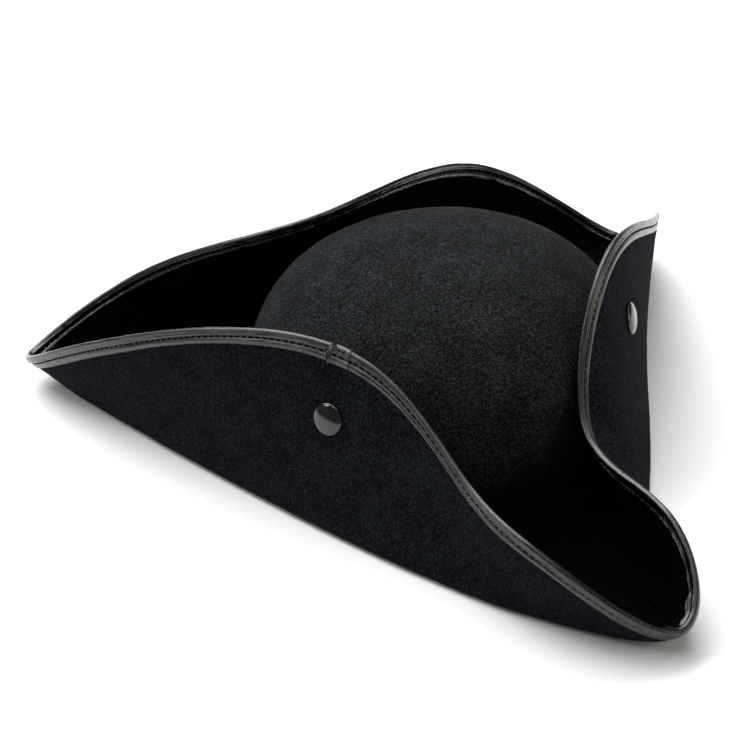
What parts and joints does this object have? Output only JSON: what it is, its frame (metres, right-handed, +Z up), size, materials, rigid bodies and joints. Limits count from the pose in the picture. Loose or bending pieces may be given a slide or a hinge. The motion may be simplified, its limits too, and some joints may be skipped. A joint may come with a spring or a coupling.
{
  "type": "pirate hat",
  "caption": "Black felt tricorn hat with a round crown, a turned-up brim snapped to the crown, glossy edge binding and domed snap caps.",
  "frame": {"origin": "centre of the head opening, on the plane of the brim's underside", "axes": "+Z up through the crown, -Y the hat's front corner, -X the wearer's right"},
  "size_m": [0.3447, 0.3456, 0.1007],
  "materials": {
    "crown_felt": "brushed felt nap",
    "brim_felt": "brushed felt nap",
    "binding": "glossy",
    "thread": "matte thread",
    "snap_cap": "gloss enamel",
    "snap_metal": "satin",
    "sweatband": "ribbed"
  },
  "bodies": {
    "hat": {"brim": "brim_felt", "corner_binding_front": "binding", "corner_binding_left": "binding", "corner_binding_right": "binding", "corner_front": "brim_felt", "corner_left": "brim_felt", "corner_right": "brim_felt", "corner_stitching": "thread", "crown": "crown_felt", "snap_post_back": "snap_metal", "snap_post_left": "snap_metal", "snap_post_right": "snap_metal", "snap_stud_back": "snap_metal", "snap_stud_left": "snap_metal", "snap_stud_right": "snap_metal", "sweatband": "sweatband", "sweatband_stitching": "thread"},
    "flap_left": {"flap_left": "brim_felt", "flap_binding_left": "binding", "flap_stitching_left": "thread", "snap_cap_left": "snap_cap", "snap_socket_left": "snap_metal"},
    "flap_back": {"flap_back": "brim_felt", "flap_binding_back": "binding", "flap_stitching_back": "thread", "snap_cap_back": "snap_cap", "snap_socket_back": "snap_metal"},
    "flap_right": {"flap_right": "brim_felt", "flap_binding_right": "binding", "flap_stitching_right": "thread", "snap_cap_right": "snap_cap", "snap_socket_right": "snap_metal", "binding_join": "binding"}
  },
  "joints": [
    {"name": "flap_left_fold", "type": "hinge", "parent": "hat", "child": "flap_left", "pos_m": [0.09333, -0.04962, 0.0075], "axis": [0.4695, 0.8829, 0], "range_deg": [0, 80]},
    {"name": "flap_back_fold", "type": "hinge", "parent": "hat", "child": "flap_back", "pos_m": [0.00605, 0.11544, 0.0075], "axis": [-0.9986, 0.0523, 0], "range_deg": [0, 80]},
    {"name": "flap_right_fold", "type": "hinge", "parent": "hat", "child": "flap_right", "pos_m": [-0.09643, -0.04497, 0.0075], "axis": [0.4226, -0.9063, 0], "range_deg": [0, 80]}
  ]
}
